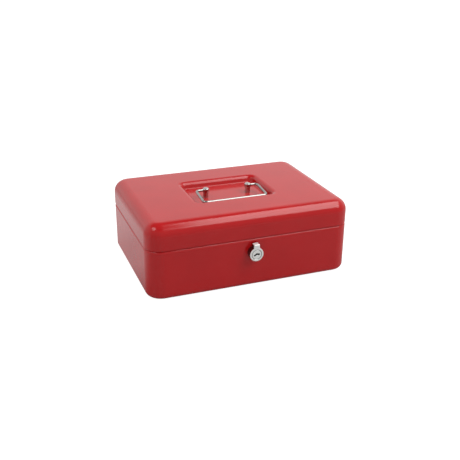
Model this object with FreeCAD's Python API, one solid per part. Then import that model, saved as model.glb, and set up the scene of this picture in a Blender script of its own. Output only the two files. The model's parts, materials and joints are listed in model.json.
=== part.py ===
import FreeCAD, Part
import os
from math import cos, radians, sin, tan

from FreeCAD import Vector

# Ten inch steel cash box: drawn base and lid, concealed rear hinges, recessed bail handle,
# cylinder lock with a swinging cam, and a lift-out coin tray.
# Row frame: origin at the centre of the underside, +X to the right seen from the front,
# +Y to the rear, +Z up. All sizes are in millimetres.

# ---- driving dimensions ----
BOX_W = 250.0           # outside width, X
BOX_D = 180.0           # outside depth, Y
BOX_H = 90.0            # outside height, Z
SHEET = 1.0             # steel sheet
CORNER_R = 19.0         # vertical corners, outside
LID_TOP_R = 14.5        # rolled top edge of the lid, outside
FLOOR_R = 6.0           # bottom edge of the base, outside

# seam between base and lid
SHOULDER_Z = 59.6       # top of the rolled shoulder that the lid closes down to
SHOULDER_R = 2.8
SHOULDER_DROP = 2.6     # inside the base, the step up to the lip starts this far below
LID_EDGE_Z = 60.4       # lower edge of the lid
LID_EDGE_R = 0.5
LIP_TOP_Z = 65.9        # inner lip that stands up inside the lid
LIP_INSET = 1.4         # outside face of the lip, in from the outside of the box
LIP_END_Y = 77.0        # the lip runs round the front and sides only
REAR_EDGE_Z = 61.3      # the lid's rear edge is cut higher, to swing past the base
REAR_EDGE_HALF = 116.0  # half width of that higher edge

# handle recess pressed into the lid
RECESS_HALF_X = 53.8    # half width at the rim, where the flat top starts to roll over
RECESS_Y0, RECESS_Y1 = -38.6, 41.5
RECESS_CORNER_R = 12.0  # corners of the rim
RECESS_DEPTH = 8.0
RECESS_DRAFT = 20.0     # the walls lean out by this angle, in degrees
RECESS_TOP_R = 6.2      # roll from the flat top into the wall
RECESS_FLOOR_R = 1.8

# handle
POST_X = 27.5           # the two posts stand at +-POST_X, Y = 0
POST_R = 3.2
POST_HEAD_R = 3.9
POST_HEAD_Z0, POST_TOP_Z = 88.7, 93.8
POST_TAIL_R = 2.1
POST_WASHER_T, POST_WASHER_R = 0.9, 5.5
BAIL_Z = 91.3           # pivot height
BAIL_WIRE_R = 1.6
BAIL_BORE_R = 1.67
BAIL_REAR_HALF = 40.05  # wire centre to box centre, at the pivot
BAIL_FRONT_HALF = 40.4  # the same at the grip bar
BAIL_REACH = 31.6       # pivot to grip bar, level
BAIL_DROP = 3.5         # the grip bar hangs this far below the pivot
BAIL_END_X = 24.2       # inner end of the wire, inside the post
BAIL_BEND_R = 4.2

# hinges
HINGE_Y, HINGE_Z = 87.2, 63.4
HINGE_X = 70.0          # centres at +-HINGE_X
HINGE_LEAF_T = 0.8
KNUCKLE_COUNT = 5
KNUCKLE_L = 9.0
KNUCKLE_GAP = 0.25
KNUCKLE_R = 1.8
HINGE_PIN_R = 0.90      # staked in the base leaf's knuckles
KNUCKLE_BORE_R = 0.95   # running fit in the lid leaf's knuckles
HINGE_NOTCH = 3.0       # leaf edge to axis, beside the other leaf's knuckles
BASE_LEAF_BOTTOM_Z = 47.0
LID_LEAF_TOP_Z = 75.0
WINDOW_TOP_Z = 66.4     # cut-out in the lid's rear edge that bares each barrel
WINDOW_SIDE_GAP = 0.6

# lock
LOCK_Z = 43.2
LOCK_HEAD_R = 8.25
LOCK_HEAD_L = 8.5       # stands out of the front wall
LOCK_RIB_W = 7.2
LOCK_RIB_R = 1.0        # top edges of the rib
LOCK_RIB_TOP = 12.3     # rib top above the lock's axis
LOCK_RIB_L = 6.2        # from the face towards the wall
LOCK_RIM_BEVEL = 0.45   # outer edge of the head
GROOVE_BEVEL = 0.5      # either side of the groove between the rim and the plug
SHANK_R = 7.0
SHANK_FLAT_HALF = 6.2   # double-D shank
SHANK_END_Y = -76.2
PLUG_FACE_R = 5.8
PLUG_FACE_L = 1.6
PLUG_SINK = 0.25        # plug face behind the rim
PLUG_R = 5.0
PLUG_CLEAR = 0.06
KEYWAY_DEPTH = 19.0
TAIL_HALF = 3.0         # square tail that drives the cam
NUT_FLATS = 18.0
NUT_T = 3.0
CAM_T = 1.6
CAM_Y0 = -75.9
CAM_HUB_R = 6.3
CAM_ARM_HALF = 4.0
CAM_REACH = 17.0
WASHER_T = 0.6
SCREW_HEAD_R = 3.6
SCREW_HEAD_T = 2.2
SCREW_R = 1.9
WAFER_COUNT = 5
WAFER_PITCH = 2.6
WAFER_T = 0.9
WAFER_HALF = 4.5

# catch plate on the lid
CATCH_T = 1.5
CATCH_SHELF_Z = 66.9
CATCH_FLANGE_TOP_Z = 75.4
CATCH_X0, CATCH_X1 = 18.5, 27.0
CATCH_FOOT_X0 = 9.0
CATCH_FOOT_Z0, CATCH_FOOT_Z1 = 35.0, 38.6

# coin tray and the ledges it hangs on
TRAY_FLANGE_HALF_X = 121.0
TRAY_BODY_HALF_X = 110.5
TRAY_Y0, TRAY_Y1 = -69.0, 80.0
TRAY_TOP_Z = 50.0
TRAY_FLANGE_T = 2.0
TRAY_BOTTOM_Z = 20.0
TRAY_WALL = 1.8
COIN_CUPS = 4
COIN_CUP_DEPTH_Y = 84.0
NOTE_CUPS = 2
LEDGE_T = 1.2
LEDGE_REACH = 11.5
LEDGE_HEIGHT = 9.0
LEDGE_Y0, LEDGE_Y1 = -50.0, 60.0
TRAY_SEAT_GAP = 0.1

FRONT_Y = -BOX_D / 2
REAR_Y = BOX_D / 2
CUT = 2.0               # overrun of every cutting tool past the face it opens


# ---- small helpers ----
def box(x0, x1, y0, y1, z0, z1):
    """Box between two corners."""
    return Part.makeBox(x1 - x0, y1 - y0, z1 - z0, Vector(x0, y0, z0))


def rod(radius, start, length, direction):
    """Cylinder from a start point along a direction."""
    return Part.makeCylinder(radius, length, Vector(*start), Vector(*direction))


def rounded_prism(x0, x1, y0, y1, z0, z1, radius):
    """Upright prism whose four vertical edges have one radius."""
    bend = radius * (1 - cos(radians(45)))
    corners = [
        (x1 - radius, y0, x1 - bend, y0 + bend, x1, y0 + radius),
        (x1, y1 - radius, x1 - bend, y1 - bend, x1 - radius, y1),
        (x0 + radius, y1, x0 + bend, y1 - bend, x0, y1 - radius),
        (x0, y0 + radius, x0 + bend, y0 + bend, x0 + radius, y0),
    ]
    edges = []
    for i, (ax, ay, mx, my, bx, by) in enumerate(corners):
        edges.append(Part.Arc(Vector(ax, ay, z0), Vector(mx, my, z0), Vector(bx, by, z0)).toShape())
        nx, ny = corners[(i + 1) % 4][:2]
        edges.append(Part.makeLine(Vector(bx, by, z0), Vector(nx, ny, z0)))
    return Part.Face(Part.Wire(edges)).extrude(Vector(0, 0, z1 - z0))


def box_prism(inset, z0, z1):
    """The box's outline, moved in by an inset, as a prism."""
    x, y = BOX_W / 2 - inset, BOX_D / 2 - inset
    return rounded_prism(-x, x, -y, y, z0, z1, CORNER_R - inset)


def level_edges(shape, z, half_x=None, y0=None, y1=None):
    """Edges lying in the plane Z = z, kept to a window in X and Y if one is given."""
    found = []
    for edge in shape.Edges:
        bounds = edge.BoundBox
        if abs(bounds.ZMin - z) > 1e-4 or abs(bounds.ZMax - z) > 1e-4:
            continue
        if half_x is not None and (bounds.XMax > half_x + 0.1 or bounds.XMin < -half_x - 0.1):
            continue
        if y0 is not None and (bounds.YMin < y0 - 0.1 or bounds.YMax > y1 + 0.1):
            continue
        found.append(edge)
    return found


def round_level(shape, radius, z, **window):
    """Fillet every edge that level_edges finds."""
    return shape.makeFillet(radius, level_edges(shape, z, **window))


def polygon_prism(points, y0, y1):
    """Prism along Y from a closed list of (x, z) points."""
    corners = [Vector(x, y0, z) for x, z in points]
    face = Part.Face(Part.makePolygon(corners + corners[:1]))
    return face.extrude(Vector(0, y1 - y0, 0))


# ---- shells ----
def make_base_shell():
    """Drawn tray with a rounded shoulder and a lip that the lid slides over."""
    outer = round_level(box_prism(0, 0, SHOULDER_Z), FLOOR_R, 0)
    outer = round_level(outer, SHOULDER_R, SHOULDER_Z)
    lip = box_prism(LIP_INSET, SHOULDER_Z - SHOULDER_R, LIP_TOP_Z)
    lip = lip.cut(box(-BOX_W, BOX_W, LIP_END_Y, BOX_D, SHOULDER_Z, BOX_H))
    step_z = SHOULDER_Z - SHOULDER_DROP
    hollow = round_level(box_prism(SHEET, SHEET, step_z), FLOOR_R - SHEET, SHEET)
    throat = box_prism(LIP_INSET + SHEET, step_z - CUT, LIP_TOP_Z + CUT)
    rear_throat = box_prism(SHEET, step_z - CUT, LIP_TOP_Z + CUT)
    rear_throat = rear_throat.common(box(-BOX_W, BOX_W, LIP_END_Y, BOX_D, 0, BOX_H))
    shell = outer.fuse(lip).cut(hollow.fuse([throat, rear_throat]))
    return shell.removeSplitter().cut(lock_wall_hole())


def lock_wall_hole():
    """Double-D hole in the front wall, with the shank's clearance."""
    gap = 0.1
    hole = rod(SHANK_R + gap, (0, FRONT_Y - CUT, LOCK_Z), SHEET + 2 * CUT, (0, 1, 0))
    flats = SHANK_FLAT_HALF + gap
    return hole.common(box(-flats, flats, FRONT_Y - 5, FRONT_Y + 5, 0, BOX_H))


def tapered_prism(half_x, y0, y1, z0, z1, radius, draft):
    """Upright prism with rounded corners that widens upwards; its outline is the one at z1."""
    spread = (z1 - z0) * tan(radians(draft))
    flat_x, flat_y0, flat_y1 = half_x - radius, y0 + radius, y1 - radius
    low = radius - spread
    pieces = []
    for x in (-flat_x, flat_x):
        for y in (flat_y0, flat_y1):
            pieces.append(Part.makeCone(low, radius, z1 - z0, Vector(x, y, z0)))
    across = [(-flat_x - low, z0), (flat_x + low, z0), (half_x, z1), (-half_x, z1)]
    pieces.append(polygon_prism(across, flat_y0, flat_y1))
    along = [Vector(-flat_x, y, z) for y, z in (
        (flat_y0 - low, z0), (flat_y1 + low, z0), (y1, z1), (y0, z1), (flat_y0 - low, z0))]
    pieces.append(Part.Face(Part.makePolygon(along)).extrude(Vector(2 * flat_x, 0, 0)))
    return pieces[0].fuse(pieces[1:]).removeSplitter()


def sink_recess(shape, grow, top_z, top_r, floor_r):
    """Press the recess into a shape whose flat top is at top_z, and round both its edges."""
    floor_z = top_z - RECESS_DEPTH
    slope = tan(radians(RECESS_DRAFT))
    # the roll takes this much of the rim's width, so the straight wall meets the top further in
    roll = RECESS_TOP_R * tan(radians((90 - RECESS_DRAFT) / 2))
    out = grow / cos(radians(RECESS_DRAFT)) - roll
    outline = {"half_x": RECESS_HALF_X + out, "y0": RECESS_Y0 - out, "y1": RECESS_Y1 + out}
    rise = top_z + CUT - BOX_H
    cutter = tapered_prism(outline["half_x"] + rise * slope, outline["y0"] - rise * slope,
                           outline["y1"] + rise * slope, floor_z, top_z + CUT,
                           RECESS_CORNER_R + out + rise * slope, RECESS_DRAFT)
    shape = round_level(shape.cut(cutter), top_r, top_z, **outline)
    return round_level(shape, floor_r, floor_z, **outline)


def make_lid_shell():
    """Drawn lid with a rolled top edge, the handle recess and the rear cut-outs for the hinges."""
    outer = round_level(box_prism(0, LID_EDGE_Z, BOX_H), LID_TOP_R, BOX_H)
    outer = round_level(outer, LID_EDGE_R, LID_EDGE_Z)
    outer = sink_recess(outer, 0, BOX_H, RECESS_TOP_R, RECESS_FLOOR_R)
    inner_top = BOX_H - SHEET
    inner = round_level(box_prism(SHEET, LID_EDGE_Z - CUT, inner_top), LID_TOP_R - SHEET, inner_top)
    inner = sink_recess(inner, SHEET, inner_top, RECESS_TOP_R - SHEET, RECESS_FLOOR_R + SHEET)
    shell = outer.cut(inner)
    rear = box(-REAR_EDGE_HALF, REAR_EDGE_HALF, REAR_Y - 10, REAR_Y + CUT, LID_EDGE_Z - CUT, REAR_EDGE_Z)
    shell = shell.cut(rear)
    half = hinge_length() / 2 + WINDOW_SIDE_GAP
    for side in (-1, 1):
        x = side * HINGE_X
        shell = shell.cut(box(x - half, x + half, REAR_Y - 3, REAR_Y + CUT, LID_EDGE_Z, WINDOW_TOP_Z))
        shell = shell.cut(rod(POST_TAIL_R + 0.1, (side * POST_X, 0, BOX_H - 15), 10, (0, 0, 1)))
    return shell


# ---- hinges ----
def hinge_length():
    return KNUCKLE_COUNT * KNUCKLE_L + (KNUCKLE_COUNT - 1) * KNUCKLE_GAP


def knuckle_spans(x_centre, first):
    """X spans of every second knuckle, starting with the given one."""
    start = x_centre - hinge_length() / 2
    step = KNUCKLE_L + KNUCKLE_GAP
    return [(start + i * step, start + i * step + KNUCKLE_L) for i in range(first, KNUCKLE_COUNT, 2)]


def make_hinge_leaf(x_centre, up):
    """One leaf: a plate on the inside of the rear wall whose knuckles curl round the pin."""
    x0, x1 = x_centre - hinge_length() / 2, x_centre + hinge_length() / 2
    y0, y1 = HINGE_Y + KNUCKLE_R - HINGE_LEAF_T, HINGE_Y + KNUCKLE_R
    if up:
        plate = box(x0, x1, y0, y1, HINGE_Z + HINGE_NOTCH, LID_LEAF_TOP_Z)
        neck = (HINGE_Z, HINGE_Z + HINGE_NOTCH)
    else:
        plate = box(x0, x1, y0, y1, BASE_LEAF_BOTTOM_Z, HINGE_Z - HINGE_NOTCH)
        neck = (HINGE_Z - HINGE_NOTCH, HINGE_Z)
    pieces = []
    for a, b in knuckle_spans(x_centre, 1 if up else 0):
        pieces.append(box(a, b, y0, y1, *neck))
        pieces.append(rod(KNUCKLE_R, (a, HINGE_Y, HINGE_Z), b - a, (1, 0, 0)))
    leaf = plate.fuse(pieces)
    bore_r = KNUCKLE_BORE_R if up else HINGE_PIN_R
    leaf = leaf.cut(rod(bore_r, (x0 - CUT, HINGE_Y, HINGE_Z), x1 - x0 + 2 * CUT, (1, 0, 0)))
    return leaf.removeSplitter()


def make_hinge_pin(x_centre):
    start = x_centre - hinge_length() / 2
    return rod(HINGE_PIN_R, (start, HINGE_Y, HINGE_Z), hinge_length(), (1, 0, 0))


# ---- handle ----
def make_handle_post(x):
    """Turned post: a cross-bored head, a stem, and a tail peened over a washer under the lid."""
    floor_z = BOX_H - RECESS_DEPTH
    stem = rod(POST_R, (x, 0, floor_z), POST_HEAD_Z0 - floor_z, (0, 0, 1))
    head = rod(POST_HEAD_R, (x, 0, POST_HEAD_Z0), POST_TOP_Z - POST_HEAD_Z0, (0, 0, 1))
    head = round_level(head, 1.3, POST_TOP_Z)
    head = round_level(head, 0.6, POST_HEAD_Z0)
    washer_z = floor_z - SHEET - POST_WASHER_T
    tail = rod(POST_TAIL_R, (x, 0, washer_z - 1.0), floor_z - washer_z + 1.0, (0, 0, 1))
    peen = rod(POST_R, (x, 0, washer_z - 1.6), 1.6, (0, 0, 1))
    peen = round_level(peen, 1.2, washer_z - 1.6)
    post = stem.fuse([head, tail, peen])
    bore = rod(BAIL_BORE_R, (x - 3 * POST_R, 0, BAIL_Z), 6 * POST_R, (1, 0, 0))
    return post.removeSplitter().cut(bore)


def make_post_washers():
    top = BOX_H - RECESS_DEPTH - SHEET
    rings = []
    for x in (-POST_X, POST_X):
        ring = rod(POST_WASHER_R, (x, 0, top - POST_WASHER_T), POST_WASHER_T, (0, 0, 1))
        rings.append(ring.cut(rod(POST_TAIL_R + 0.1, (x, 0, top - 5), 10, (0, 0, 1))))
    return Part.makeCompound(rings)


def make_handle_bail():
    """Bent wire handle, folded forward: pivot ends in the posts, two legs and a grip bar."""
    corners = [
        Vector(-BAIL_END_X, 0, BAIL_Z),
        Vector(-BAIL_REAR_HALF, 0, BAIL_Z),
        Vector(-BAIL_FRONT_HALF, -BAIL_REACH, BAIL_Z - BAIL_DROP),
        Vector(BAIL_FRONT_HALF, -BAIL_REACH, BAIL_Z - BAIL_DROP),
        Vector(BAIL_REAR_HALF, 0, BAIL_Z),
        Vector(BAIL_END_X, 0, BAIL_Z),
    ]
    path = rounded_path(corners, BAIL_BEND_R)
    profile = Part.Wire(Part.makeCircle(BAIL_WIRE_R, corners[0], Vector(1, 0, 0)))
    return path.makePipeShell([profile], True, True)


def rounded_path(corners, radius):
    """Straight runs through the corners, joined by arcs that are tangent to them."""
    edges, start = [], corners[0]
    for before, corner, after in zip(corners, corners[1:], corners[2:]):
        a, b = (before - corner).normalize(), (after - corner).normalize()
        half = a.getAngle(b) / 2
        reach = radius * cos(half) / sin(half)
        enter, leave = corner + a * reach, corner + b * reach
        centre = corner + (a + b).normalize() * (radius / sin(half))
        middle = centre + (corner - centre).normalize() * radius
        edges.append(Part.makeLine(start, enter))
        edges.append(Part.Arc(enter, middle, leave).toShape())
        start = leave
    edges.append(Part.makeLine(start, corners[-1]))
    return Part.Wire(edges)


# ---- lock ----
HEAD_Y = FRONT_Y - LOCK_HEAD_L
FACE_Y = HEAD_Y + PLUG_SINK
FACE_END_Y = FACE_Y + PLUG_FACE_L


def make_lock_housing():
    """Round head with a rib along its top, and a double-D shank through the front wall."""
    head = rod(LOCK_HEAD_R, (0, HEAD_Y, LOCK_Z), LOCK_HEAD_L, (0, 1, 0))
    half = LOCK_RIB_W / 2
    rib = box(-half, half, HEAD_Y, HEAD_Y + LOCK_RIB_L, LOCK_Z, LOCK_Z + LOCK_RIB_TOP)
    top = LOCK_Z + LOCK_RIB_TOP
    rib_edges = [e for e in rib.Edges if e.BoundBox.ZMin > top - 0.1 and e.BoundBox.YLength > 1]
    rib = rib.makeFillet(LOCK_RIB_R, rib_edges)
    head = head.fuse(rib).removeSplitter()
    rim = [e for e in head.Edges if e.BoundBox.YMax < HEAD_Y + 1e-4]
    head = head.makeChamfer(LOCK_RIM_BEVEL, rim)
    shank = rod(SHANK_R, (0, FRONT_Y, LOCK_Z), SHANK_END_Y - FRONT_Y, (0, 1, 0))
    shank = shank.common(box(-SHANK_FLAT_HALF, SHANK_FLAT_HALF, FRONT_Y, 0, 0, BOX_H))
    body = head.fuse(shank)
    face_bore = rod(PLUG_FACE_R + PLUG_CLEAR, (0, HEAD_Y - CUT, LOCK_Z), FACE_END_Y - HEAD_Y + CUT, (0, 1, 0))
    plug_bore = rod(PLUG_R + PLUG_CLEAR, (0, HEAD_Y, LOCK_Z), 40, (0, 1, 0))
    bore_r = PLUG_FACE_R + PLUG_CLEAR
    lead_in = Part.makeCone(bore_r + GROOVE_BEVEL, bore_r, GROOVE_BEVEL,
                            Vector(0, HEAD_Y, LOCK_Z), Vector(0, 1, 0))
    return body.cut(face_bore.fuse([plug_bore, lead_in]))


def make_lock_nut():
    """Hex nut behind the front wall."""
    reach = NUT_FLATS / 2 / cos(radians(30))
    points = [(reach * cos(radians(60 * i)), LOCK_Z + reach * sin(radians(60 * i))) for i in range(6)]
    y0 = FRONT_Y + SHEET
    nut = polygon_prism(points, y0, y0 + NUT_T)
    return nut.cut(rod(SHANK_R + 0.06, (0, y0 - CUT, LOCK_Z), 10, (0, 1, 0)))


# keyway outline round the lock's axis: (x, z), a plain stepped slot
KEYWAY = [
    (-3.6, 0.0), (-2.0, 0.5), (-1.3, 1.6), (0.9, 1.8), (1.7, 1.2), (3.6, 1.2),
    (3.6, -0.8), (2.3, -1.2), (1.3, -0.4), (-0.5, -0.4), (-1.5, -1.5), (-3.6, -1.7),
]


def wafer_positions():
    first = FACE_END_Y + 2.4
    return [first + i * WAFER_PITCH for i in range(WAFER_COUNT)]


def make_lock_plug():
    """Rotating core: keyway, wafer slots, and a square tail tapped for the cam screw."""
    face = rod(PLUG_FACE_R, (0, FACE_Y, LOCK_Z), PLUG_FACE_L, (0, 1, 0))
    face = face.makeChamfer(GROOVE_BEVEL, [e for e in face.Edges if e.BoundBox.YMax < FACE_Y + 1e-4])
    barrel = rod(PLUG_R, (0, FACE_Y, LOCK_Z), SHANK_END_Y - FACE_Y, (0, 1, 0))
    tail_end = CAM_Y0 + CAM_T - 0.1
    tail = box(-TAIL_HALF, TAIL_HALF, SHANK_END_Y - 1, tail_end, LOCK_Z - TAIL_HALF, LOCK_Z + TAIL_HALF)
    plug = face.fuse([barrel, tail]).removeSplitter()
    points = [(x, LOCK_Z + z) for x, z in KEYWAY]
    cuts = [polygon_prism(points, FACE_Y - CUT, FACE_Y + KEYWAY_DEPTH - 3)]
    gap = 0.05
    for y in wafer_positions():
        cuts.append(box(-6, 6, y - gap, y + WAFER_T + gap, LOCK_Z - 2 - gap, LOCK_Z + 2 + gap))
    cuts.append(rod(SCREW_R + 0.05, (0, tail_end - 5.0, LOCK_Z), 5.0 + CUT, (0, 1, 0)))
    return plug.cut(cuts[0].fuse(cuts[1:]))


def make_lock_wafers():
    """Five flat tumblers, each a plate with a window for the key."""
    plates = []
    for y in wafer_positions():
        plate = box(-WAFER_HALF, WAFER_HALF, y, y + WAFER_T, LOCK_Z - 2, LOCK_Z + 2)
        plate = plate.cut(box(-3.7, 3.7, y - CUT, y + CUT, LOCK_Z - 1.25, LOCK_Z + 1.25))
        plates.append(plate)
    return Part.makeCompound(plates)


def make_lock_cam():
    """Swinging bolt: a hub on the plug's square tail and an arm that stands up when unlocked."""
    hub = rod(CAM_HUB_R, (0, CAM_Y0, LOCK_Z), CAM_T, (0, 1, 0))
    tip = LOCK_Z + CAM_REACH
    arm = box(-CAM_ARM_HALF, CAM_ARM_HALF, CAM_Y0, CAM_Y0 + CAM_T, LOCK_Z, tip)
    tip_edges = [e for e in arm.Edges if e.BoundBox.ZMin > tip - 0.1 and e.BoundBox.XLength < 0.1]
    arm = arm.makeFillet(1.5, tip_edges)
    gap = 0.06
    hole = box(-TAIL_HALF - gap, TAIL_HALF + gap, CAM_Y0 - CUT, CAM_Y0 + 2 * CUT,
               LOCK_Z - TAIL_HALF - gap, LOCK_Z + TAIL_HALF + gap)
    return hub.fuse(arm).removeSplitter().cut(hole)


def make_cam_washer():
    y0 = CAM_Y0 + CAM_T
    washer = rod(SCREW_HEAD_R + 1.2, (0, y0, LOCK_Z), WASHER_T, (0, 1, 0))
    return washer.cut(rod(SCREW_R + 0.15, (0, y0 - CUT, LOCK_Z), 2 * CUT, (0, 1, 0)))


def make_cam_screw():
    """Pan-head screw with a cross recess."""
    y0 = CAM_Y0 + CAM_T + WASHER_T
    head = rod(SCREW_HEAD_R, (0, y0, LOCK_Z), SCREW_HEAD_T, (0, 1, 0))
    outer = [e for e in head.Edges if e.BoundBox.YMin > y0 + SCREW_HEAD_T - 1e-4]
    head = head.makeFillet(1.0, outer)
    stem = rod(SCREW_R, (0, y0 - 4.5, LOCK_Z), 4.5, (0, 1, 0))
    screw = head.fuse(stem).removeSplitter()
    for half_x, half_z in ((2.1, 0.45), (0.45, 2.1)):
        slot = box(-half_x, half_x, y0 + 1.0, y0 + 5, LOCK_Z - half_z, LOCK_Z + half_z)
        screw = screw.cut(slot)
    return screw


def make_lid_catch():
    """Bent plate welded inside the lid's front wall; its foot hooks under the locked cam."""
    wall_y = FRONT_Y + SHEET
    leg_y0, leg_y1 = CAM_Y0, CAM_Y0 + CATCH_T
    x0, x1 = CATCH_X0 - 4, CATCH_X1 + 3
    flange = box(x0, x1, wall_y, wall_y + CATCH_T, CATCH_SHELF_Z, CATCH_FLANGE_TOP_Z)
    shelf = box(x0, x1, wall_y, leg_y1, CATCH_SHELF_Z, CATCH_SHELF_Z + CATCH_T)
    leg = box(CATCH_X0, CATCH_X1, leg_y0, leg_y1, CATCH_FOOT_Z0, CATCH_SHELF_Z + CATCH_T)
    foot = box(CATCH_FOOT_X0, CATCH_X1, leg_y0, leg_y1, CATCH_FOOT_Z0, CATCH_FOOT_Z1)
    return flange.fuse([shelf, leg, foot]).removeSplitter()


# ---- tray ----
def tray_pocket(x0, x1, y0, y1, floor_r):
    """One compartment with a scooped bottom."""
    bottom = TRAY_BOTTOM_Z + TRAY_WALL
    pocket = rounded_prism(x0, x1, y0, y1, bottom, TRAY_TOP_Z + CUT, 9.0)
    return round_level(pocket, floor_r, bottom)


def pocket_row(count, y0, y1, floor_r):
    """A row of equal compartments with a thin wall between neighbours."""
    left = -TRAY_BODY_HALF_X + TRAY_WALL
    width = (2 * -left - (count - 1) * TRAY_WALL) / count
    row = []
    for i in range(count):
        x0 = left + i * (width + TRAY_WALL)
        row.append(tray_pocket(x0, x0 + width, y0, y1, floor_r))
    return row


def make_coin_tray():
    """Moulded tray: a row of coin scoops in front of a row of wider note compartments."""
    body = rounded_prism(-TRAY_BODY_HALF_X, TRAY_BODY_HALF_X, TRAY_Y0, TRAY_Y1,
                         TRAY_BOTTOM_Z, TRAY_TOP_Z, 10.8)
    body = round_level(body, 6.0, TRAY_BOTTOM_Z)
    flange = rounded_prism(-TRAY_FLANGE_HALF_X, TRAY_FLANGE_HALF_X, TRAY_Y0, TRAY_Y1,
                           TRAY_TOP_Z - TRAY_FLANGE_T, TRAY_TOP_Z, 12.0)
    coin_y0 = TRAY_Y0 + TRAY_WALL
    coin_y1 = coin_y0 + COIN_CUP_DEPTH_Y
    pockets = pocket_row(COIN_CUPS, coin_y0, coin_y1, 8.5)
    pockets += pocket_row(NOTE_CUPS, coin_y1 + TRAY_WALL, TRAY_Y1 - TRAY_WALL, 5.0)
    return body.fuse(flange).removeSplitter().cut(pockets[0].fuse(pockets[1:]))


def make_tray_ledge(side):
    """Steel angle on a side wall that the tray's flange hangs on."""
    wall = BOX_W / 2 - SHEET
    top = TRAY_TOP_Z - TRAY_FLANGE_T - TRAY_SEAT_GAP
    web = box(wall - LEDGE_T, wall, LEDGE_Y0, LEDGE_Y1, top - LEDGE_HEIGHT, top)
    arm = box(wall - LEDGE_REACH, wall, LEDGE_Y0, LEDGE_Y1, top - LEDGE_T, top)
    ledge = web.fuse(arm).removeSplitter()
    return ledge if side > 0 else ledge.mirror(Vector(0, 0, 0), Vector(1, 0, 0))


def build_nodes():
    nodes = {
        "base_shell": make_base_shell(),
        "lid_shell": make_lid_shell(),
        "handle_post_washers": make_post_washers(),
        "handle_bail": make_handle_bail(),
        "lock_housing": make_lock_housing(),
        "lock_nut": make_lock_nut(),
        "lock_plug": make_lock_plug(),
        "lock_wafers": make_lock_wafers(),
        "lock_cam": make_lock_cam(),
        "cam_washer": make_cam_washer(),
        "cam_screw": make_cam_screw(),
        "lid_catch": make_lid_catch(),
        "coin_tray": make_coin_tray(),
    }
    for side, name in ((-1, "left"), (1, "right")):
        nodes[f"hinge_{name}_base_leaf"] = make_hinge_leaf(side * HINGE_X, up=False)
        nodes[f"hinge_{name}_lid_leaf"] = make_hinge_leaf(side * HINGE_X, up=True)
        nodes[f"hinge_{name}_pin"] = make_hinge_pin(side * HINGE_X)
        nodes[f"handle_post_{name}"] = make_handle_post(side * POST_X)
        nodes[f"tray_ledge_{name}"] = make_tray_ledge(side)
    return nodes


def main():
    os.makedirs("parts", exist_ok=True)
    for name, shape in build_nodes().items():
        solids = shape.Solids
        ok = shape.isValid() and all(s.isClosed() and s.Volume > 0 for s in solids)
        print(f"{name:24s} solids {len(solids)}  volume {shape.Volume:10.1f}  ok {ok}")
        shape.exportStep(f"parts/{name}.step")


if __name__ == "__main__":
    main()
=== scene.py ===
import bmesh
import bpy
import json
from math import cos, pi, radians, sin, sqrt
from mathutils import Matrix, Vector


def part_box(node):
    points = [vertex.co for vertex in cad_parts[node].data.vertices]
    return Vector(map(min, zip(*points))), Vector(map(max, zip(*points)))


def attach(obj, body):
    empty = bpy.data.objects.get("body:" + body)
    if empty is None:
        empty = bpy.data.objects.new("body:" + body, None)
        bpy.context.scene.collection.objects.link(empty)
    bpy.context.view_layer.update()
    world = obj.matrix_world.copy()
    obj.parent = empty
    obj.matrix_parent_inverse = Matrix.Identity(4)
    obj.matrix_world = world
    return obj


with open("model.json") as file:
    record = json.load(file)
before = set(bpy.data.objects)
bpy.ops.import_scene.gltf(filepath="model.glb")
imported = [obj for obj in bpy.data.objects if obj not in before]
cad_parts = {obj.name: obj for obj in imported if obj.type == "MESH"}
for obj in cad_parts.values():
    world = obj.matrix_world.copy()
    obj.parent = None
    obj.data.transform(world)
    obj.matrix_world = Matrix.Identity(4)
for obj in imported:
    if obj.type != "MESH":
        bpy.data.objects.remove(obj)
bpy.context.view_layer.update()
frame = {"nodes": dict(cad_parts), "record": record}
mm = 0.001
print("frame loaded:", len(frame["nodes"]), "nodes")


def toLinear(hexText, alpha=1.0):
    # sRGB hex to a linear colour
    channels = [int(hexText[i:i + 2], 16) / 255 for i in (1, 3, 5)]
    return [c / 12.92 if c <= 0.04045 else ((c + 0.055) / 1.055) ** 2.4 for c in channels] + [alpha]


def addNode(tree, kind, settings=None, inputs=None):
    # inputs go by name or number: a socket is linked, any other value is set
    node = tree.nodes.new(kind)
    for name, value in (settings or {}).items():
        setattr(node, name, value)
    for key, value in (inputs or {}).items():
        if isinstance(value, bpy.types.NodeSocket):
            tree.links.new(value, node.inputs[key])
        else:
            node.inputs[key].default_value = value
    return node


def newMaterial(name, shaderInputs):
    # a material with its shader wired to the output; returns it with its tree and shader
    material = bpy.data.materials.new(name)
    material.use_nodes = True
    tree = material.node_tree
    tree.nodes.clear()
    shader = addNode(tree, "ShaderNodeBsdfPrincipled", inputs=shaderInputs)
    addNode(tree, "ShaderNodeOutputMaterial", inputs={"Surface": shader.outputs[0]})
    return material, tree, shader


def objectPoint(tree, scale=(1, 1, 1), centre=(0, 0, 0)):
    # object coordinates, moved so that centre is zero, then scaled
    place = addNode(tree, "ShaderNodeTexCoord").outputs["Object"]
    moved = addNode(tree, "ShaderNodeVectorMath", {"operation": "SUBTRACT"}, {0: place, 1: centre})
    return addNode(tree, "ShaderNodeVectorMath", {"operation": "MULTIPLY"},
                   {0: moved.outputs[0], 1: scale}).outputs[0]


def noiseAt(tree, point, sizeMm, detail=2.0, rough=0.5):
    # noise whose blotches are about sizeMm across
    return addNode(tree, "ShaderNodeTexNoise", inputs={
        "Vector": point, "Scale": 1000 / sizeMm, "Detail": detail, "Roughness": rough}).outputs["Fac"]


def spread(tree, value, low, high, fromLow=0.3, fromHigh=0.7):
    # maps a noise value onto low..high
    return addNode(tree, "ShaderNodeMapRange", inputs={
        "Value": value, "From Min": fromLow, "From Max": fromHigh,
        "To Min": low, "To Max": high}).outputs[0]


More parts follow.
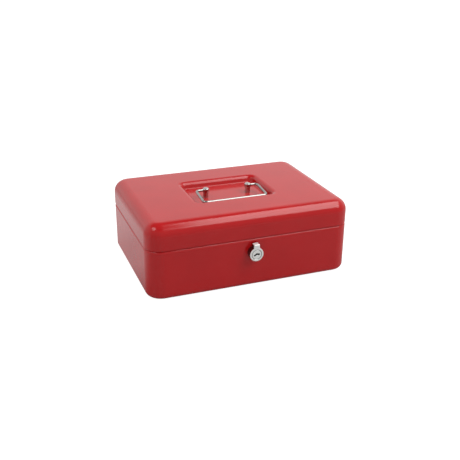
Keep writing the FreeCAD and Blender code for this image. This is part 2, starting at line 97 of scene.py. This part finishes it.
redEnamelSpec = {
    "paint": "#BE0A10",         # the coat itself, seen straight on
    "paintThin": "#B6080D",     # where it flowed a little thinner
    "roughness": 0.13,
    "roughnessSpread": 0.05,
    "orangePeelMm": 3.2,        # size of the coat's soft ripples
    "orangePeelDepthMm": 0.012,
    "orangePeelStrength": 0.5,
    "flowMm": 45.0,             # size of the slow changes in tone
}


def makeRedEnamel():
    # glossy red powder coat, sprayed on drawn sheet steel and baked: a hard even gloss over
    # faint orange-peel ripples, so reflections stay clear but their edges waver slightly
    spec = redEnamelSpec
    material, tree, shader = newMaterial("redPowderCoatEnamel", {"Metallic": 0.0, "IOR": 1.5})
    point = objectPoint(tree)
    flow = noiseAt(tree, point, spec["flowMm"], 3.0)
    tone = addNode(tree, "ShaderNodeMix", {"data_type": "RGBA"}, {
        "Factor": spread(tree, flow, 0.0, 1.0),
        "A": toLinear(spec["paint"]), "B": toLinear(spec["paintThin"])})
    # the colour sockets of a Mix node come after its number and vector sockets
    tree.links.new(tone.outputs[2], shader.inputs["Base Color"])
    peel = noiseAt(tree, point, spec["orangePeelMm"], 1.0)
    fine = noiseAt(tree, point, spec["orangePeelMm"] * 3, 2.0)
    low = spec["roughness"]
    tree.links.new(spread(tree, fine, low, low + spec["roughnessSpread"]), shader.inputs["Roughness"])
    bump = addNode(tree, "ShaderNodeBump", inputs={
        "Height": peel, "Strength": spec["orangePeelStrength"],
        "Distance": spec["orangePeelDepthMm"] * mm})
    tree.links.new(bump.outputs[0], shader.inputs["Normal"])
    return material


chromeSpec = {
    "wire": ("#A8A3A0", 0.10),  # tone and roughness
    "post": ("#C2BFBB", 0.10),
    "hazeMm": 6.0,              # size of the patches in the haze
    "hazeSpread": 1.6,          # how much rougher the dullest patch is
}


def makeChrome(name, tone, roughness):
    # nickel-chrome plate over polished steel: mirror bright but very slightly hazed, so the
    # bright room and the red box both show in it and its edges read dark
    material, tree, shader = newMaterial(name, {"Base Color": toLinear(tone), "Metallic": 1.0})
    haze = noiseAt(tree, objectPoint(tree), chromeSpec["hazeMm"], 3.0)
    tree.links.new(spread(tree, haze, roughness, roughness * chromeSpec["hazeSpread"]),
                   shader.inputs["Roughness"])
    return material


lockSpec = {
    "satinFaceAndPaintedTop": "#F2F3F0",         # the turned face, and the rib's top as a painted highlight
    "barrel": "#6A6463",        # the polished side, toned dark as painted shade
    "keyway": "#040303",        # painted shade: near black, inside the keyway slot
    "gapMm": 5.8,               # radius of the gap round the plug's face
    "gapShade": 0.55,           # how dark the painted shade makes the gap's edges
    "satinRoughness": 0.38,
    "barrelRoughness": 0.12,
    "satinMetal": 0.45,         # a satin face scatters much of the light
    "faceDepthMm": 1.1,         # how far back the satin face reaches over the rim
    "faceFadeMm": 0.3,          # and how softly it ends
    "ribFadeMm": 0.4,
    "ribTopFacing": (0.35, 0.6),    # upward slant at which the rib's top turns to the painted highlight
    "keywayDepthMm": (0.02, 0.08),  # the painted shade starts this far behind the plug's face
    "keywayReachMm": (4.4, 4.7),    # and stays inside this radius
    "gapWidthMm": (0.2, 0.6),       # from the gap's middle to where its shade ends
    "ringMm": 0.35,             # pitch of the tool marks
    "ringDepthMm": 0.006,
    "ringStrength": 0.25,
}


def makeTurnedChrome(axis, faceY, plugY, rimMm):
    # chrome over a zinc die casting: the front is satin from turning, with fine rings round the axis;
    # the rib's top gets a painted satin highlight where it faces up, the polished side a dark tone as
    # painted shade, the keyway's inside painted near-black shade, and the gap round the plug painted
    # shade
    spec = lockSpec
    material, tree, shader = newMaterial("satinChromeTurnedFace", {})
    place = addNode(tree, "ShaderNodeSeparateXYZ", inputs={0: objectPoint(tree, centre=axis)})
    flat = objectPoint(tree, (1, 0, 1), axis)
    radius = addNode(tree, "ShaderNodeVectorMath", {"operation": "LENGTH"}, {0: flat}).outputs["Value"]
    rings = addNode(tree, "ShaderNodeMath", {"operation": "SINE"}, {
        0: addNode(tree, "ShaderNodeMath", {"operation": "MULTIPLY"}, {
            0: radius, 1: 2 * pi / (spec["ringMm"] * mm)}).outputs[0]})
    nearFace = spread(tree, place.outputs["Y"], 1.0, 0.0,
                      faceY + (spec["faceDepthMm"] - spec["faceFadeMm"]) * mm,
                      faceY + spec["faceDepthMm"] * mm)
    aboveRim = spread(tree, place.outputs["Z"], 0.0, 1.0,
                      rimMm * mm, (rimMm + spec["ribFadeMm"]) * mm)
    # painted highlight: the rib's top, where it faces up, takes the bright satin tone
    facing = addNode(tree, "ShaderNodeSeparateXYZ",
                     inputs={0: addNode(tree, "ShaderNodeNewGeometry").outputs["Normal"]}).outputs["Z"]
    ribTopPaintedHighlight = addNode(tree, "ShaderNodeMath", {"operation": "MULTIPLY"}, {
        0: aboveRim, 1: spread(tree, facing, 0.0, 1.0, *spec["ribTopFacing"])}).outputs[0]
    satinFaceAndPaintedTop = addNode(tree, "ShaderNodeMath", {"operation": "MAXIMUM"},
                    {0: nearFace, 1: ribTopPaintedHighlight}).outputs[0]
    # painted keyway shade: behind the plug's face and within the keyway's reach
    behind = spread(tree, place.outputs["Y"], 0.0, 1.0,
                    *(plugY + depth * mm for depth in spec["keywayDepthMm"]))
    inside = spread(tree, radius, 1.0, 0.0, *(reach * mm for reach in spec["keywayReachMm"]))
    keyway = addNode(tree, "ShaderNodeMath", {"operation": "MULTIPLY"},
                     {0: behind, 1: inside}).outputs[0]
    # painted shade: a dark ring at the gap round the plug's face
    fromGap = addNode(tree, "ShaderNodeMath", {"operation": "SUBTRACT"},
                      {0: radius, 1: spec["gapMm"] * mm}).outputs[0]
    offGap = addNode(tree, "ShaderNodeMath", {"operation": "ABSOLUTE"}, {0: fromGap}).outputs[0]
    paintedGapShade = spread(tree, offGap, spec["gapShade"], 0.0, *(width * mm for width in spec["gapWidthMm"]))
    paintedShade = addNode(tree, "ShaderNodeMath", {"operation": "MAXIMUM"}, {0: keyway, 1: paintedGapShade}).outputs[0]
    # the painted keyway shade also turns the gloss off there
    tree.links.new(spread(tree, keyway, 0.5, 0.0, 0.0, 1.0), shader.inputs["Specular IOR Level"])
    # the polished side takes a dark tone as painted shade, the satin face and the painted top a pale
    # one
    tone = addNode(tree, "ShaderNodeMix", {"data_type": "RGBA"}, {
        "Factor": satinFaceAndPaintedTop, "A": toLinear(spec["barrel"]), "B": toLinear(spec["satinFaceAndPaintedTop"])})
    shade = addNode(tree, "ShaderNodeMix", {"data_type": "RGBA"}, {
        "Factor": paintedShade, "A": tone.outputs[2], "B": toLinear(spec["keyway"])})
    tree.links.new(shade.outputs[2], shader.inputs["Base Color"])
    tree.links.new(spread(tree, satinFaceAndPaintedTop, 1.0, spec["satinMetal"], 0.0, 1.0), shader.inputs["Metallic"])
    tree.links.new(spread(tree, satinFaceAndPaintedTop, spec["barrelRoughness"], spec["satinRoughness"], 0.0, 1.0),
                   shader.inputs["Roughness"])
    bump = addNode(tree, "ShaderNodeBump", inputs={
        "Height": rings.outputs[0], "Strength": spec["ringStrength"],
        "Distance": spec["ringDepthMm"] * mm})
    tree.links.new(bump.outputs[0], shader.inputs["Normal"])
    return material


zincSpec = {
    "tone": "#C4C8CC",
    "tonePatch": "#AEB0AE",     # where the plate is thinner
    "spangleMm": 3.0,
    "patchMm": 8.0,
    "roughness": (0.26, 0.38),
    "brushMm": 0.3,             # width of a brush line
    "brushStretch": 0.06,       # how far it is drawn out along X: less is longer
    "brushDepthMm": 0.01,
    "brushStrength": 0.4,
}


def makeZinc():
    # bright zinc plate on pressed steel: pale grey with a cool cast, a patchy spangle and
    # short brush lines from the barrel it was finished in
    spec = zincSpec
    material, tree, shader = newMaterial("brightZincPlate", {"Metallic": 1.0})
    point = objectPoint(tree)
    spangle = addNode(tree, "ShaderNodeTexVoronoi", inputs={
        "Vector": point, "Scale": 1000 / spec["spangleMm"]})
    patch = noiseAt(tree, point, spec["patchMm"], 3.0)
    tone = addNode(tree, "ShaderNodeMix", {"data_type": "RGBA"}, {
        "Factor": spread(tree, patch, 0.0, 1.0),
        "A": toLinear(spec["tone"]), "B": toLinear(spec["tonePatch"])})
    tree.links.new(tone.outputs[2], shader.inputs["Base Color"])
    tree.links.new(spread(tree, spangle.outputs["Distance"], *spec["roughness"], 0.0, 1.0),
                   shader.inputs["Roughness"])
    lines = noiseAt(tree, objectPoint(tree, (spec["brushStretch"], 1, 1)), spec["brushMm"], 2.0)
    bump = addNode(tree, "ShaderNodeBump", inputs={
        "Height": lines, "Strength": spec["brushStrength"],
        "Distance": spec["brushDepthMm"] * mm})
    tree.links.new(bump.outputs[0], shader.inputs["Normal"])
    return material


brassSpec = {
    "tone": "#D9B25E",
    "mottleMm": 1.2,
    "roughness": (0.22, 0.40),
}


def makeBrass():
    # stamped brass wafers: warm yellow metal, dull on the sheared edges
    material, tree, shader = newMaterial("stampedBrass", {
        "Base Color": toLinear(brassSpec["tone"]), "Metallic": 1.0})
    mottle = noiseAt(tree, objectPoint(tree), brassSpec["mottleMm"], 3.0)
    tree.links.new(spread(tree, mottle, *brassSpec["roughness"]), shader.inputs["Roughness"])
    return material


plasticSpec = {
    "tone": "#1B1B1D",
    "tonePatch": "#232325",
    "patchMm": 30.0,
    "roughness": (0.38, 0.48),
    "grainMm": 0.8,
    "grainDepthMm": 0.05,
    "grainStrength": 0.35,
}


def makeBlackPlastic():
    # moulded black polystyrene: a fine spark-eroded grain that breaks up its soft shine
    spec = plasticSpec
    material, tree, shader = newMaterial("mouldedBlackPolystyrene", {"Metallic": 0.0, "IOR": 1.55})
    point = objectPoint(tree)
    patch = noiseAt(tree, point, spec["patchMm"], 3.0)
    tone = addNode(tree, "ShaderNodeMix", {"data_type": "RGBA"}, {
        "Factor": spread(tree, patch, 0.0, 1.0),
        "A": toLinear(spec["tone"]), "B": toLinear(spec["tonePatch"])})
    tree.links.new(tone.outputs[2], shader.inputs["Base Color"])
    grain = noiseAt(tree, point, spec["grainMm"], 2.0)
    tree.links.new(spread(tree, patch, *spec["roughness"]), shader.inputs["Roughness"])
    bump = addNode(tree, "ShaderNodeBump", inputs={
        "Height": grain, "Strength": spec["grainStrength"],
        "Distance": spec["grainDepthMm"] * mm})
    tree.links.new(bump.outputs[0], shader.inputs["Normal"])
    return material


def finishNode(name, material):
    # gives a carried-over CAD node its finish
    node = frame["nodes"][name]
    node.data.materials.clear()
    node.data.materials.append(material)


plugLow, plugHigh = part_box("lock_plug")
headLow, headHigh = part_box("lock_housing")
lockAxis = ((plugLow.x + plugHigh.x) / 2, 0.0, (plugLow.z + plugHigh.z) / 2)
headRadius = (headHigh.x - headLow.x) / 2

redEnamel = makeRedEnamel()
wireChrome = makeChrome("platedWireChrome", *chromeSpec["wire"])
postChrome = makeChrome("turnedPostChrome", *chromeSpec["post"])
lockChrome = makeTurnedChrome(lockAxis, headLow.y, plugLow.y, headRadius / mm)
zincPlate = makeZinc()
brass = makeBrass()
blackPlastic = makeBlackPlastic()

slotFinish = {
    "red_enamel": redEnamel,
    "chrome": wireChrome,
    "zinc_steel": zincPlate,
    "brass": brass,
    "black_plastic": blackPlastic,
}
for part in frame["record"]["subparts"]:
    finishNode(part["node"], slotFinish[part["material_slot"]])
for name in ("handle_post_left", "handle_post_right"):
    finishNode(name, postChrome)
for name in ("lock_housing", "lock_plug"):
    finishNode(name, lockChrome)
print("materials made and given to the carried-over parts")


weldSpec = {
    "radiusMm": 1.9,            # a 4 mm electrode's mark
    "proudMm": 0.22,            # height of the raised nugget
    "pitchMm": 21.0,            # along the tray ledges
    "sides": 20,
    "rings": 12,
    "cutAt": -0.35,             # the unit ball under the nugget is cut off below this height
    "edgeMm": 8.0,              # from a row's end to the part's end
    "ledgeSheetMm": 1.2,        # thickness of the tray ledges
    "ledgeRiseMm": 3.4,         # of the row above the ledge's foot
    "leafSheetMm": 0.8,         # thickness of the hinge leaves
    "leafWelds": 3,
    "baseLeafRiseMm": 5.0,      # of the row above the leaf's foot
    "lidLeafDropMm": 4.0,       # of the row below the leaf's top
    "catchSheetMm": 1.5,        # thickness of the catch
    "catchWelds": 2,
    "catchDropMm": 3.4,         # of the row below the flange's top
    "catchLeftMm": 9.5,         # from the row's ends to the flange's ends
    "catchRightMm": 5.0,
}


def makeWeldTree(material):
    # a row of low domed nuggets between two points, each facing the way it is told
    tree = bpy.data.node_groups.new("spotWeldRow", "GeometryNodeTree")
    face = tree.interface
    face.new_socket("Geometry", in_out="OUTPUT", socket_type="NodeSocketGeometry")
    for name, kind in (("Start", "Vector"), ("End", "Vector"), ("Facing", "Vector"), ("Count", "Int"),
                       ("Radius", "Float"), ("Proud", "Float"), ("Sides", "Int")):
        face.new_socket(name, in_out="INPUT", socket_type="NodeSocket" + kind)
    given = addNode(tree, "NodeGroupInput").outputs
    line = addNode(tree, "GeometryNodeMeshLine", {"mode": "END_POINTS"}, {
        "Count": given["Count"], "Start Location": given["Start"], "Offset": given["End"]})
    # the nugget: a half sphere pressed flat
    ball = addNode(tree, "GeometryNodeMeshUVSphere", inputs={
        "Segments": given["Sides"], "Rings": weldSpec["rings"], "Radius": 1.0})
    place = addNode(tree, "GeometryNodeInputPosition").outputs[0]
    height = addNode(tree, "ShaderNodeSeparateXYZ", inputs={0: place})
    below = addNode(tree, "FunctionNodeCompare", {"data_type": "FLOAT", "operation": "LESS_THAN"}, {
        0: height.outputs["Z"], 1: weldSpec["cutAt"]})
    dome = addNode(tree, "GeometryNodeDeleteGeometry", {"domain": "POINT"}, {
        "Geometry": ball.outputs["Mesh"], "Selection": below.outputs[0]})
    size = addNode(tree, "ShaderNodeCombineXYZ", inputs={
        "X": given["Radius"], "Y": given["Radius"], "Z": given["Proud"]})
    turn = addNode(tree, "FunctionNodeAlignRotationToVector", {"axis": "Z"},
                   {"Vector": given["Facing"]})
    row = addNode(tree, "GeometryNodeInstanceOnPoints", inputs={
        "Points": line.outputs["Mesh"], "Instance": dome.outputs["Geometry"],
        "Rotation": turn.outputs[0], "Scale": size.outputs[0]})
    real = addNode(tree, "GeometryNodeRealizeInstances", inputs={0: row.outputs[0]})
    done = addNode(tree, "GeometryNodeSetMaterial", inputs={0: real.outputs[0], "Material": material})
    addNode(tree, "NodeGroupOutput", inputs={0: done.outputs[0]})
    return tree


def makeWelds(name, body, material, rows):
    # all the weld rows of one body as one mesh; a row is start, end, facing and count
    tree = makeWeldTree(material)
    whole = bmesh.new()
    for start, end, facing, count in rows:
        holder = bpy.data.objects.new(name + "Row", bpy.data.meshes.new(name + "Row"))
        bpy.context.scene.collection.objects.link(holder)
        modifier = holder.modifiers.new("welds", "NODES")
        modifier.node_group = tree
        given = {"Start": start, "End": end, "Facing": facing, "Count": count,
                 "Radius": weldSpec["radiusMm"] * mm, "Proud": weldSpec["proudMm"] * mm,
                 "Sides": weldSpec["sides"]}
        for socket in tree.interface.items_tree:
            if socket.in_out == "INPUT":
                modifier[socket.identifier] = given[socket.name]
        graph = bpy.context.evaluated_depsgraph_get()
        mesh = bpy.data.meshes.new_from_object(holder.evaluated_get(graph))
        holder.modifiers.remove(modifier)
        whole.from_mesh(mesh)
        bpy.data.objects.remove(holder)
        bpy.data.meshes.remove(mesh)
    mesh = bpy.data.meshes.new(name)
    for polygon in whole.faces:
        polygon.smooth = True
    whole.to_mesh(mesh)
    whole.free()
    mesh.materials.append(material)
    piece = bpy.data.objects.new(name, mesh)
    bpy.context.scene.collection.objects.link(piece)
    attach(piece, body)


def weldRows():
    # where the sheets are welded together, worked out from the parts they join
    size = {key: value * mm for key, value in weldSpec.items() if key.endswith("Mm")}
    edge = size["edgeMm"]
    baseRows, lidRows = [], []
    for side, name in ((1, "right"), (-1, "left")):
        low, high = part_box("tray_ledge_" + name)
        outer = high.x if side > 0 else low.x
        faceX = outer - side * size["ledgeSheetMm"]     # the web's inner face
        z = low.z + size["ledgeRiseMm"]
        count = int((high.y - low.y) / size["pitchMm"]) + 1
        baseRows.append(((faceX, low.y + edge, z), (faceX, high.y - edge, z), (-side, 0, 0), count))
        low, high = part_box("hinge_" + name + "_base_leaf")
        faceY = high.y - size["leafSheetMm"]            # both leaves' inner face
        z = low.z + size["baseLeafRiseMm"]
        baseRows.append(((low.x + edge, faceY, z), (high.x - edge, faceY, z), (0, -1, 0),
                         weldSpec["leafWelds"]))
        low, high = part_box("hinge_" + name + "_lid_leaf")
        z = high.z - size["lidLeafDropMm"]
        lidRows.append(((low.x + edge, faceY, z), (high.x - edge, faceY, z), (0, -1, 0),
                        weldSpec["leafWelds"]))
    low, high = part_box("lid_catch")
    faceY = low.y + size["catchSheetMm"]                # the flange's inner face
    z = high.z - size["catchDropMm"]
    lidRows.append(((low.x + size["catchLeftMm"], faceY, z), (high.x - size["catchRightMm"], faceY, z),
                    (0, 1, 0), weldSpec["catchWelds"]))
    return baseRows, lidRows


baseRows, lidRows = weldRows()
makeWelds("baseSpotWelds", "base", zincPlate, baseRows)
makeWelds("lidSpotWelds", "lid", zincPlate, lidRows)
print("spot welds made")


studioSpec = {
    "floorHalf": 12.0,
    "floorDrop": 0.0002,        # keeps the table just clear of the box's underside
    "floorTone": "#ADADAD",
    "tableGlow": 0.90,          # the light table under the box, as seen straight on
    "tableBounceFront": 0.08,   # and what it throws onto the box, in front
    "tableBounceRear": 0.37,    # and behind it
    "bounceWay": (-0.35, 0.94, 0.0),    # the bounce rises in this direction over the floor
    "bounceFrom": -0.02,        # between these distances from the box's middle
    "bounceTo": 0.06,
    "worldFront": 0.50,         # brightness of the room in front of the box
    "worldBack": 0.89,          # of the white backdrop behind it
    "worldTop": 0.30,           # and of the ceiling
    "roomFront": -0.5,          # the room brightens between these depths, as sines
    "roomBack": 0.45,
    "backdropTop": 38.0,        # elevations between which the backdrop gives way, degrees
    "ceilingFrom": 55.0,
}


def makeStudio():
    # a white light table under a bright room
    spec = studioSpec
    mesh = bpy.data.meshes.new("studioFloor")
    half = spec["floorHalf"]
    mesh.from_pydata([(-half, -half, 0), (half, -half, 0), (half, half, 0), (-half, half, 0)],
                     [], [(0, 1, 2, 3)])
    floor = bpy.data.objects.new("studioFloor", mesh)
    bpy.context.scene.collection.objects.link(floor)
    floor.location.z = -spec["floorDrop"]
    material, tree, shader = newMaterial("paleLightTable", {
        "Base Color": toLinear(spec["floorTone"]), "Roughness": 0.9, "Specular IOR Level": 0.0,
        "Emission Color": (1, 1, 1, 1)})
    # the table is evenly white to look at, but bounces more light from its far side
    place = addNode(tree, "ShaderNodeVectorMath", {"operation": "DOT_PRODUCT"}, {
        0: addNode(tree, "ShaderNodeTexCoord").outputs["Object"],
        1: spec["bounceWay"]}).outputs["Value"]
    bounce = spread(tree, place, spec["tableBounceFront"], spec["tableBounceRear"],
                    spec["bounceFrom"], spec["bounceTo"])
    seen = addNode(tree, "ShaderNodeLightPath").outputs["Is Camera Ray"]
    glow = addNode(tree, "ShaderNodeMix", {"data_type": "FLOAT"}, {
        0: seen, 2: bounce, 3: spec["tableGlow"]})
    tree.links.new(glow.outputs[0], shader.inputs["Emission Strength"])
    mesh.materials.append(material)

    world = bpy.data.worlds.new("studioRoom")
    bpy.context.scene.world = world
    world.use_nodes = True
    tree = world.node_tree
    tree.nodes.clear()
    way = addNode(tree, "ShaderNodeTexCoord").outputs["Generated"]
    parts = addNode(tree, "ShaderNodeSeparateXYZ", inputs={0: way})
    around = addNode(tree, "ShaderNodeMapRange", {"interpolation_type": "SMOOTHSTEP"}, {
        "Value": parts.outputs["Y"], "From Min": spec["roomFront"], "From Max": spec["roomBack"],
        "To Min": spec["worldFront"], "To Max": spec["worldBack"]})
    rise = addNode(tree, "ShaderNodeMapRange", {"interpolation_type": "SMOOTHSTEP"}, {
        "Value": parts.outputs["Z"],
        "From Min": sin(radians(spec["backdropTop"])),
        "From Max": sin(radians(spec["ceilingFrom"]))})
    level = addNode(tree, "ShaderNodeMix", {"data_type": "FLOAT"}, {
        0: rise.outputs[0], 2: around.outputs[0], 3: spec["worldTop"]})
    glow = addNode(tree, "ShaderNodeBackground", inputs={
        "Color": (1, 1, 1, 1), "Strength": level.outputs[0]})
    addNode(tree, "ShaderNodeOutputWorld", inputs={"Surface": glow.outputs[0]})


def addSoftbox(name, side, phi, distance, width, height, glow, aim=(0, 0, 0.07)):
    # a rectangular light facing the box. side is the sine of its angle to the right, phi its
    # angle up from the front horizon in degrees, and glow its face's radiance
    light = bpy.data.lights.new(name, "AREA")
    light.shape = "RECTANGLE"
    light.size, light.size_y = width, height
    light.energy = glow * width * height * pi
    holder = bpy.data.objects.new(name, light)
    bpy.context.scene.collection.objects.link(holder)
    turn = radians(phi)
    reach = sqrt(1 - side * side)
    away = Vector((side, -cos(turn) * reach, sin(turn) * reach))
    over = Vector((0, sin(turn), cos(turn)))
    along = over.cross(away)
    place = Vector(aim) + away * distance
    rows = [(along[i], over[i], away[i], place[i]) for i in range(3)]
    holder.matrix_world = Matrix(rows + [(0, 0, 0, 1)])


softboxes = {
    "mainSoftbox": {"side": 0.50, "phi": 70.0, "distance": 1.5,
                    "width": 0.92, "height": 1.50, "glow": 4.0},
    "cornerSoftbox": {"side": -0.60, "phi": 80.0, "distance": 1.7,
                      "width": 0.50, "height": 0.75, "glow": 3.2},
}


cameraSpec = {
    "azimuth": -21.02,          # degrees: in front of the box and to its left
    "elevation": 23.25,
    "distance": 0.88066,
    "roll": 0.46,
    "lens": 54.753,
    "sensor": 36.0,
    "aimRight": 0.00431,        # how far the aim is off the box's middle
    "aimUp": -0.0100,
    "aimHeight": 0.045,
    "near": 0.01,
    "far": 100.0,
}


def makeCamera():
    spec = cameraSpec
    a, e = radians(spec["azimuth"]), radians(spec["elevation"])
    back = Vector((sin(a) * cos(e), -cos(a) * cos(e), sin(e)))
    right = (-back).cross(Vector((0, 0, 1))).normalized()
    up = right.cross(-back)
    turn = radians(spec["roll"])
    rolledRight = right * cos(turn) + up * sin(turn)
    rolledUp = up * cos(turn) - right * sin(turn)
    target = Vector((0, 0, spec["aimHeight"])) + right * spec["aimRight"] + up * spec["aimUp"]
    camera = bpy.data.objects.new("camera", bpy.data.cameras.new("camera"))
    bpy.context.scene.collection.objects.link(camera)
    camera.data.lens = spec["lens"]
    camera.data.sensor_width = spec["sensor"]
    camera.data.clip_start = spec["near"]
    camera.data.clip_end = spec["far"]
    matrix = camera.matrix_world.copy()
    for row in range(3):
        matrix[row][0], matrix[row][1], matrix[row][2] = rolledRight[row], rolledUp[row], back[row]
        matrix[row][3] = (target + back * spec["distance"])[row]
    camera.matrix_world = matrix
    bpy.context.scene.camera = camera


makeStudio()
for name, values in softboxes.items():
    addSoftbox(name, **values)
makeCamera()
bpy.context.scene.view_settings.view_transform = "Standard"
print("studio, lights and camera placed")
